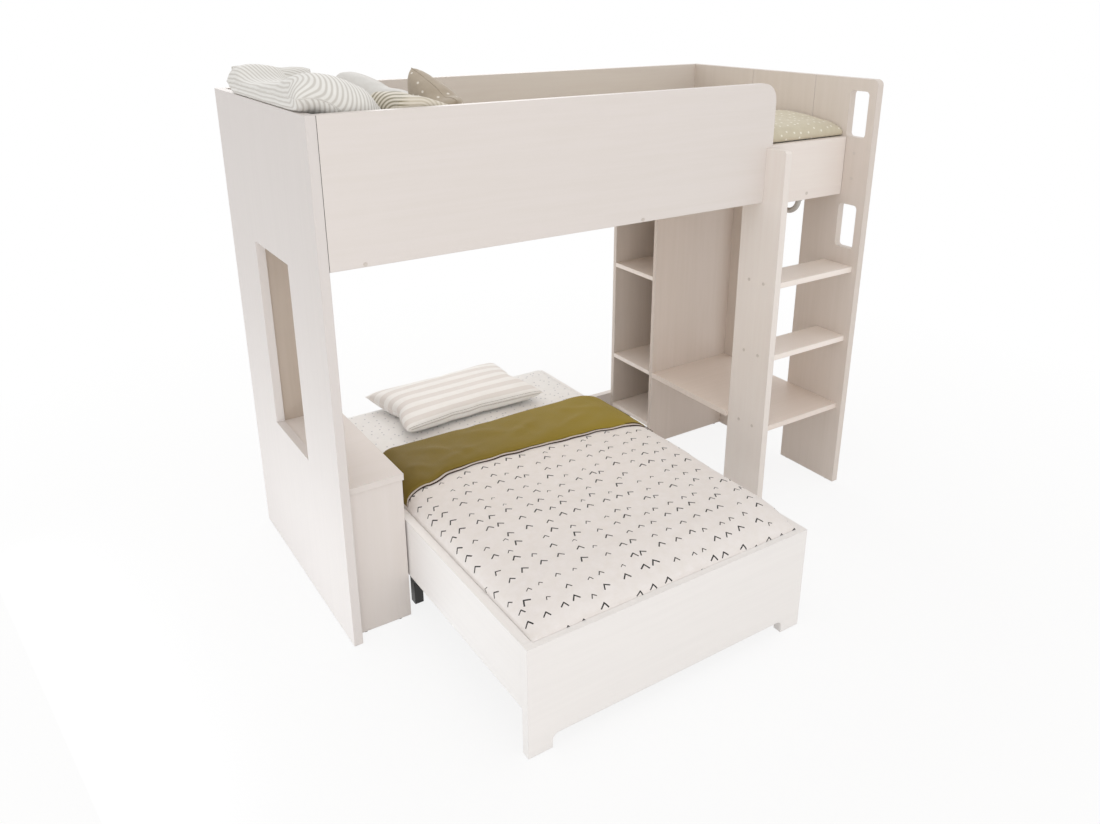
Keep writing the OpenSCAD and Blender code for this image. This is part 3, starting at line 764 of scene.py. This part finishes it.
def cloth_lines(cover, cut, cells):
    """Lays the cloth's own straight grain on a cover, in metres from its middle."""
    layer = cover.data.uv_layers.new(name="grain")
    nx, ny = cells
    upper = [(i, j) for i in range(nx + 1) for j in range(ny + 1)]
    places = upper + [(i, j) for i in range(1, nx) for j in range(1, ny)]
    for loop in cover.data.loops:
        i, j = places[loop.vertex_index]
        layer.data[loop.index].uv = ((i / nx - 0.5) * cut[0] / 1000, (j / ny - 0.5) * cut[1] / 1000)


low_pillow_cut, low_pillow_cells = (680, 440), (48, 32)
low_pillow, seam = stuffed("low_pillow_cover", low_pillow_cut, low_pillow_cells, striped_cloth, 41)
cloth_lines(low_pillow, low_pillow_cut, low_pillow_cells)


def soft_middle(points):
    """The head's hollow, and a front side that swells out under its seam."""
    u, v, w = points[:, 0] / 306, points[:, 1] / 194, points[:, 2] / 46
    points[:, 2] -= 7 * np.exp(-(u ** 2 + v ** 2) * 3) * (w > 0)
    front = np.clip((-v - 0.7) / 0.3, 0, 1) * (1 - np.clip(np.abs(u) - 0.8, 0, 0.2) * 5)
    points[:, 1] -= 10 * front * np.sin(np.clip(-w, 0, 0.8) / 0.8 * math.pi)
    points[:, 2] += 9 * front * (np.abs(w) < 0.25)
    return points


lay(low_pillow, (612, 386, 96), (708, 671, 428), (0.5, 0, 2.5), soft_middle, [above(389.5)], plump=0.72)
finer(low_pillow)


def cord_along(name, cover, picks, thickness, finish, closed=True, lift=0.0):
    """A corded seam or a row of stitches through some of a cover's points."""
    data = bpy.data.curves.new(name, "CURVE")
    data.dimensions = "3D"
    data.bevel_depth, data.bevel_resolution = thickness / 2000, 2
    line = data.splines.new("POLY")
    line.points.add(len(picks) - 1)
    for point, k in zip(line.points, picks):
        corner = cover.data.vertices[k]
        point.co = (*(corner.co + corner.normal * lift / 1000), 1)
    line.use_cyclic_u = closed
    data.materials.append(finish)
    made = bpy.data.objects.new(name, data)
    bpy.context.scene.collection.objects.link(made)
    return made


def top_row(cells, row, margin=1):
    """Points of a cover's upper panel along one row beside its front seam."""
    nx, ny = cells
    return [i * (ny + 1) + row for i in range(margin, nx + 1 - margin)]


thread_grey = woven("grey stitching", (176, 170, 164), (160, 154, 148), sheen=0.0)[0]
low_seam = cord_along("low_pillow_seam", low_pillow, seam, 2.6, striped_cloth)
low_stitches = cord_along("low_pillow_stitches", low_pillow, top_row(low_pillow_cells, 1), 1.3, thread_grey, False,
                          0.3)
low_flap = cord_along("low_pillow_flap", low_pillow, top_row(low_pillow_cells, 0, 2), 1.5, thread_grey, False, 1.2)
for piece in (low_pillow, low_seam, low_stitches, low_flap):
    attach(piece, "low_pillow")
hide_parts("low_pillow")

# ---- Duvet of the high bed ----
# A thicker quilt in sand-coloured cotton with small pale dots. It fills the bed from guard to
# guard, rolls over the entry rail's top and butts against the right-hand panel.

dotted_cloth, tree, shader, ground = woven("sand cloth with dots", (206, 197, 174), (196, 186, 162))
over(tree, shader, ground, spots(tree, 0.034, radius=0.0042, wander=0.55), (230, 225, 211))
HIGH_LEFT, HIGH_RIGHT = 720.0, 2031.0


def high_quilt(name, finish, columns=110):
    """Columns from front to back, each a closed loop that bulges over the rail."""
    front = [(29.6, 1397.5), (21, 1403), (17, 1415), (22, 1431), (42, 1446), (80, 1458), (140, 1466), (230, 1470)]
    back = [(640, 1471), (740, 1467), (810, 1458), (840, 1444), (852, 1425), (855.4, 1405)]
    under = [(846, 1400.6), (600, 1400.2), (300, 1400.2), (40, 1400.6)]
    outline = np.array(front + back + under)
    along = np.concatenate([[0], np.cumsum(np.linalg.norm(np.diff(outline, axis=0), axis=1))])
    stations = np.concatenate([np.linspace(0, along[7], 34), np.linspace(along[7], along[8], 26)[1:],
                               np.linspace(along[8], along[13], 26)[1:], np.linspace(along[13], along[17], 26)[1:]])
    soft = np.stack([np.interp(stations, along, outline[:, k]) for k in (0, 1)], -1)
    kernel = np.array([1, 2, 3, 2, 1]) / 9
    wrapped = np.concatenate([soft[-4:], soft, soft[:4]])
    soft = np.stack([np.convolve(wrapped[:, k], kernel, "same")[4:-4] for k in (0, 1)], -1)
    xs = spaced(HIGH_LEFT, HIGH_RIGHT, columns, 0.8)
    points = []
    for x in xs:
        y, z = soft[:, 0].copy(), soft[:, 1].copy()
        top = np.clip((z - 1402) / 40, 0, 1)
        end = rise(np.array(x - HIGH_LEFT), 70) * (0.70 + 0.30 * rise(np.array(HIGH_RIGHT - x), 80))
        uneven = ripple(np.full_like(y, x), y, 51, 300, 4.0) + ripple(np.full_like(y, x), y, 52, 90, 1.0)
        z = np.where(z > 1402, 1401 + (z - 1401 + uneven * top) * end, z)
        y = np.where((z < 1412) & (y < 30), np.maximum(y, 29.4 - 9 * np.clip((z - 1399.5) / 5, 0, 1)), y)
        points.append(bed_point(np.full_like(y, x), y, z))
    made = looped(name, points, finish, flip=True)
    around = np.concatenate([[0], np.cumsum(np.linalg.norm(np.diff(soft, axis=0), axis=1))]) / 1000
    print_lines(made, np.stack(np.broadcast_arrays(xs[:, None] / 1000, around[None, :]), -1))
    return made


high_duvet = high_quilt("high_quilt", dotted_cloth)
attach(high_duvet, "high_duvet")
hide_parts("high_duvet")

# ---- Pillows of the high bed ----
# A long cream pillow with bowed grey lines stands on the mattress and leans over the end panel's
# top edge. Behind it two shorter ones, one striped and one plain, stand against the back guard.

LINE_GROUND, LINE_GREY = (235, 233, 228), (204, 200, 193)


def bowed_lines(name, start, end, period, share, ground_colour=LINE_GROUND, line=LINE_GREY, paler=None):
    """Cotton printed with lines that run along a stretch of the cover and bow round its ends. Past the cloth's
    middle they may turn paler."""
    made, tree, shader, ground = woven(name, ground_colour, tuple(c - 7 for c in ground_colour))
    calc = partial(reckon, tree)
    vector = partial(reckon, tree, on="VectorMath")
    place = add(tree, "TexCoord", "UV")
    sway = add(tree, "TexNoise", "Color", Vector=place, Scale=9.0, Detail=1.0)
    swayed = vector("ADD", place, vector("SCALE", vector("SUBTRACT", sway, (0.5, 0.5, 0.5)), 0.012))
    offset = vector("SUBTRACT", swayed, (*start, 0))
    run = Vector((*end, 0)) - Vector((*start, 0))
    along = calc("DIVIDE", vector("DOT_PRODUCT", offset, tuple(run), out="Value"), run.length_squared)
    nearest = vector("SCALE", tuple(run), calc("MINIMUM", calc("MAXIMUM", along, 0.0), 1.0))
    distance = vector("DISTANCE", offset, nearest, out="Value")
    printed = over(tree, shader, ground, in_stripe(tree, distance, period, share, soft=0.1), line)
    if paler:
        side = add(tree, "SeparateXYZ", "X", Vector=place)
        fade = add(tree, "MapRange", Value=side, From_Min=-0.012, From_Max=0.012)
        feed(tree, printed.inputs[7], two_tone(tree, fade, 0.0, 1.0, line, paler))
    return made


BOARD_TOP, SHEET_TOP = 1611.4, 1401.0
INNER_FACES = (0, 1, 28.8), (1, 1, 28.8), (1, -1, -855.2)


def in_the_corner(points):
    """Presses a pillow against the end panel's and the guards' inner faces and over their top edges."""
    for axis, sign, face in INNER_FACES:
        sideways = face - sign * points[:, axis]
        up = BOARD_TOP - points[:, 2]
        inside = (sideways > 0) & (up > 0)
        lifted = inside & (up < sideways)
        pushed = inside & ~lifted
        points[lifted, 2] = BOARD_TOP
        points[pushed, axis] = sign * face
    return points


def pillow(name, cut, cells, finish, seed, size, at, turn, body, node, sag=None, rests=(),
           cord=2.4, ears=0.16, cord_finish=None):
    """One pillow with its corded seam, on its body."""
    cover, seam = stuffed(name, cut, cells, finish, seed)
    cloth_lines(cover, cut, cells)
    lay(cover, size, at, turn, sag, rests, ears=ears)
    finer(cover)
    edge = cord_along(name + "_seam", cover, seam, cord, cord_finish or finish)
    for piece in (cover, edge):
        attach(piece, body)
    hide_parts(node)


def swung(degrees):
    """Turns a cover in its own plane before it is stood up."""
    turn = np.array(Euler((0, 0, math.radians(degrees))).to_matrix()).T
    return lambda points: points @ turn


corner_rests = [in_the_corner, above(SHEET_TOP)]
first_lines = bowed_lines("bowed lines, long pillow", (0.03, 0.50), (0.03, -0.27), 0.0130, 0.42)


def leaning_pillow(name, finish, stations=96, cells=44):
    """The long pillow, section by section along the panel: its foot stands on the mattress, its middle leans
    over the panel's inner edge and its blunt end lies on the panel's top."""
    middle = np.array([(-7, 1646), (44, 1648), (90, 1630), (130, 1590), (170, 1546), (212, 1506), (254, 1470),
                       (294, 1442), (326, 1424)], float)
    t = np.linspace(-1, 1, cells + 1)
    t = np.sign(t) * (1 - (1 - np.abs(t)) ** 1.8)
    across = np.stack([np.interp(t, np.linspace(-1, 1, 9), middle[:, k]) for k in (0, 1)], -1)
    for _ in range(5):
        across[1:-1] = across[1:-1] * 0.5 + (across[:-2] + across[2:]) * 0.25
    slope = np.gradient(across, axis=0)
    slope /= np.linalg.norm(slope, axis=1)[:, None]
    out = np.stack([-slope[:, 1], slope[:, 0]], -1)
    upper = np.interp(t, [-1, -0.6, -0.2, 0.3, 1], [34, 62, 106, 96, 56])
    lower = np.interp(t, [-1, -0.6, -0.2, 0.3, 1], [44, 58, 80, 78, 52])
    blunt = np.sqrt(1 - np.abs(t) ** np.where(t < 0, 22.0, 2.8))
    rings = []
    for v in np.sin(np.sin(np.linspace(-1, 1, stations) * math.pi / 2) * math.pi / 2):
        full = math.sqrt(max(1 - abs(v) ** (8 if v < 0 else 30), 0.0006))
        y = 364 + (328 - 7 * np.cos(t * math.pi / 2) - 3 * np.abs(t) ** 10) * v
        pucker = 1.3 * np.sin(y / 7.0 + t * 9) * (1 - blunt) * full + ripple(across[:, 0], y, 81, 150, 1.8) * full
        hollow = np.interp(y, [60, 120, 240, 480, 560, 615], [-12, -12, 20, 44, 38, 0])
        hollow = hollow * np.exp(-((t + 0.62) / 0.5) ** 2)
        fall = 60 * np.clip((y - 440) / 130, 0, 1) * np.clip((t + 0.48) / 0.35, 0, 1)
        top = across + out * ((upper - hollow - fall) * blunt * full + pucker * 0.6)[:, None]
        foot = across - out * (lower * blunt * full)[:, None]
        rings.append(np.concatenate([np.column_stack([top[:, 0], y, top[:, 1]]),
                                     np.column_stack([foot[:, 0], y, foot[:, 1]])[-2:0:-1]]))
    for _ in range(3):
        rings = [above(SHEET_TOP)(in_the_corner(loop.copy())) for loop in rings]
        rings = [rings[0]] + [b * 0.7 + (a + c) * 0.15 for a, b, c in zip(rings, rings[1:], rings[2:])] + [rings[-1]]
    rings = np.stack([above(SHEET_TOP)(in_the_corner(loop)) for loop in rings])
    made = looped(name, [bed_point(*loop.T) for loop in rings], finish)
    faces_both = [rings[:, :cells + 1], np.concatenate([rings[:, :1], rings[:, :cells - 1:-1]], axis=1)]
    printed = []
    for side, face in zip((1, -1), faces_both):
        u = np.cumsum(np.linalg.norm(np.diff(face, axis=1, prepend=face[:, :1]), axis=2), axis=1) * side
        v = np.cumsum(np.linalg.norm(np.diff(face, axis=0, prepend=face[:1]), axis=2), axis=0)
        printed.append(np.stack([u, v - v[stations // 2]], -1) / 1000)
    print_lines(made, np.concatenate([printed[0], printed[1][:, -2:0:-1]], axis=1))
    around = 2 * cells
    seam = [k * around for k in range(stations)] + [(stations - 1) * around + j for j in range(1, cells + 1)]
    seam += [k * around + cells for k in range(stations - 2, -1, -1)] + list(range(cells - 1, 0, -1))
    return made, seam


corner_pillow, seam = leaning_pillow("corner_pillow", first_lines)
corner_seam = cord_along("corner_pillow_seam", corner_pillow, seam, 2.4, first_lines)
for piece in (corner_pillow, corner_seam):
    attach(piece, "striped_pillow")
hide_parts("striped_pillow")

second_lines = bowed_lines("bowed lines, short pillow", (0.02, 0.0), (0.10, -0.06), 0.0135, 0.42)
pillow("back_pillow", (300, 330), (26, 28), second_lines, 67, (266, 294, 108), (164, 781, 1541), (72, 0, 1),
       "second_pillow", "second_pillow", sag=swung(-5), rests=corner_rests)
plain_cotton = woven("plain cotton", (226, 224, 220), (216, 213, 208))[0]
white_cord = woven("white piping", (238, 236, 232), (230, 227, 222))[0]
pillow("plain_cover", (370, 250), (32, 24), plain_cotton, 71, (387, 220, 126), (467, 710, 1518), (75, -0.7, -59.5),
       "plain_pillow", "plain_pillow", sag=swung(-14.4), rests=corner_rests, cord=4.0, ears=0.38,
       cord_finish=white_cord)

# ---- Cushion and folded quilt ----
# A square cushion in brown dotted cloth stands on one corner. Beside it a small striped
# quilt is folded to and fro into a thick stack, with its last fold lapped over the long pillow.

cushion_cloth, tree, shader, ground = woven("brown cloth with dots", (181, 168, 150), (171, 157, 138))
over(tree, shader, ground, spots(tree, 0.048, radius=0.0046, wander=0.6), (224, 217, 206))
pillow("dotted_cover", (280, 300), (26, 28), cushion_cloth, 73, (242, 270, 112), (564, 414, 1532), (0, -106, 3),
       "dotted_cushion", "dotted_cushion", sag=swung(-21), rests=[above(SHEET_TOP)])


def folded_stack(name, finish, low, high, foot, layers, thick, slices=44):
    """A quilt folded to and fro: its run is one long strip, turned over at each end of the stack."""
    left, right = low[0], high[0]
    bend = thick / 2
    run = []
    for k in range(layers):
        z = foot + thick * (k + 0.5)
        start, end = (left + bend, right - bend) if k % 2 == 0 else (right - bend, left + bend)
        for t in np.linspace(0, 1, 14):
            run.append((start + (end - start) * t, z))
        if k < layers - 1:
            side = 1 if k % 2 == 0 else -1
            for a in np.radians(np.linspace(-80, 80, 7)):
                run.append((end + side * bend * math.cos(a), z + bend + bend * math.sin(a)))
    for t in np.linspace(0.15, 1, 10):
        run.append((left + bend - 96 * t, foot + thick * (layers - 0.5) - 4 * t))
    run = np.array(run)
    slope = np.gradient(run, axis=0)
    slope /= np.linalg.norm(slope, axis=1)[:, None]
    out = np.stack([-slope[:, 1], slope[:, 0]], -1)
    ends = np.concatenate([[0], np.cumsum(np.linalg.norm(np.diff(run, axis=0), axis=1))])
    body = np.sqrt(1 - (1 - np.clip(np.minimum(ends, ends[-1] - ends) / 18, 0, 1)) ** 2) * 0.9 + 0.1
    rings = []
    for y in spaced(low[1], high[1], slices, 0.8):
        edge = min(y - low[1], high[1] - y)
        soft = math.sqrt(max(1 - (1 - min(edge / 16, 1)) ** 2, 0.02))
        sway = 2.2 * np.sin(ends / 52 + y / 31) + 1.5 * np.sin(ends / 23 + y / 17)
        half = (thick / 2 - 0.8) * body * soft
        upper = run + out * (half + sway * soft * 0.5)[:, None]
        lower = run - out * (half - sway * soft * 0.5)[:, None]
        loop = np.concatenate([upper, lower[::-1]])
        crest = np.interp(loop[:, 0], [236, 290, 350, 391, 431, 459, 540], [1626, 1639, 1634, 1620, 1604, 1594, 1566])
        loop[:, 1] = foot + (loop[:, 1] - foot) * (crest - foot) / (thick * layers)
        loop[:, 1] = np.maximum(loop[:, 1], foot)
        rings.append(bed_point(loop[:, 0], np.full(len(loop), y), loop[:, 1]))
    return looped(name, rings, finish)


olive_lines = bowed_lines("bowed olive lines", (-0.030, 0.002), (0.036, -0.003), 0.0095, 0.46, (222, 214, 199),
                          (139, 130, 105), paler=(199, 189, 170))
stack = folded_stack("folded_quilt", olive_lines, (337, 35), (541, 250), foot=1401.4, layers=4, thick=51.0)
print_lines(stack, np.array([[0.9 * v.co.x - 0.43 * v.co.y + 0.6366, v.co.z + 0.12 * v.co.y - 1.5843]
                             for v in stack.data.vertices]))
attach(stack, "folded_throw")
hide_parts("folded_throw")
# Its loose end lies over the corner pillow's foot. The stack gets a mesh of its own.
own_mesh(stack)

# ---- Studio ----
# A plain pale floor that runs into a white surround, soft light from above and from the left
# front, and the camera where it stood: a little above the high bed's rails, to the left.

EYE = (-1.7664, -2.3728, 1.8870)
HEADING, DIP, ROLL = 33.18, 20.28, -0.06
LENS, SENSOR = 29.76, 36.0
SHIFT = (-0.0059, -0.0722)
camera_data = bpy.data.cameras.new("camera")
camera_data.lens, camera_data.sensor_width = LENS, SENSOR
camera_data.shift_x, camera_data.shift_y = SHIFT
camera_data.clip_start, camera_data.clip_end = 0.05, 100
camera = bpy.data.objects.new("camera", camera_data)
aim = Matrix.Rotation(math.radians(-HEADING), 3, "Z") @ Matrix.Rotation(math.radians(90 - DIP), 3, "X")
camera.rotation_euler = (aim @ Matrix.Rotation(math.radians(ROLL), 3, "Z")).to_euler()
camera.location = EYE
bpy.context.scene.collection.objects.link(camera)
bpy.context.scene.camera = camera


def mixed(tree, *shares):
    """Two surfaces mixed by a share. The share comes first."""
    blend = tree.nodes.new("ShaderNodeMixShader")
    for socket, value in zip(blend.inputs, shares):
        feed(tree, socket, value)
    return blend.outputs[0]


def shown(tree, kind, plain, seen):
    """A surface that cameras and shiny things see one way, and that lights the rest another way."""
    ray = tree.nodes.new("ShaderNodeLightPath").outputs
    direct = reckon(tree, "MAXIMUM", ray["Is Camera Ray"], ray["Is Glossy Ray"])
    feed(tree, tree.nodes.new("ShaderNodeOutput" + kind).inputs["Surface"], mixed(tree, direct, plain, seen))


def empty_tree(of):
    of.use_nodes = True
    of.node_tree.nodes.clear()
    return of.node_tree


floor_finish = bpy.data.materials.new("pale floor")
tree = empty_tree(floor_finish)
matt = add(tree, "BsdfDiffuse", Color=(0.86, 0.85, 0.84, 1))
bright = add(tree, "Emission", Color=(1, 1, 1, 1), Strength=1.0)
reach = reckon(tree, "LENGTH", add(tree, "NewGeometry", "Position"), on="VectorMath", out="Value")
fading = add(tree, "MapRange", Value=reach, From_Min=1.3, From_Max=3.2, To_Min=0.86, To_Max=1.0)
shown(tree, "Material", matt, mixed(tree, fading, matt, bright))
bpy.ops.mesh.primitive_circle_add(vertices=96, radius=14, fill_type="NGON", location=(0, 0, 0))
floor = bpy.context.object
floor.name = "floor"
floor.data.materials.append(floor_finish)

world = bpy.context.scene.world = bpy.data.worlds.new("surround")
tree = empty_tree(world)
fill_light = add(tree, "Background", Color=(1.0, 0.995, 0.99, 1), Strength=0.84)
shown(tree, "World", fill_light, add(tree, "Background", Color=(1, 1, 1, 1), Strength=1.0))


def softbox(name, at, towards, size, power, colour=(1, 1, 1)):
    data = bpy.data.lights.new(name, "AREA")
    data.shape = "RECTANGLE"
    data.size, data.size_y = size
    data.energy, data.color = power, colour
    made = bpy.data.objects.new(name, data)
    made.location = at
    made.rotation_euler = (Vector(towards) - Vector(at)).to_track_quat("-Z", "Y").to_euler()
    made.visible_camera = False
    bpy.context.scene.collection.objects.link(made)


softbox("front softbox", (-2.6, -5.8, 0.9), (0, 0, 0.7), (3.6, 1.4), 55)
softbox("overhead softbox", (-0.4, -0.8, 4.2), (0, 0, 0.6), (3.4, 3.0), 16)
softbox("back softbox", (0.6, 3.6, 3.0), (-0.3, 0, 0.4), (3.6, 1.8), 34)
softbox("low softbox", (-1.85, 0.2, 0.08), (-1.03, 0.3, 0.03), (1.6, 0.12), 4.2, (0.84, 0.93, 1.0))
softbox("inner softbox", (-0.31, 0.42, 1.13), (-0.31, 0.42, 0), (0.9, 0.7), 1.3)

bpy.context.scene.view_settings.view_transform = "Standard"
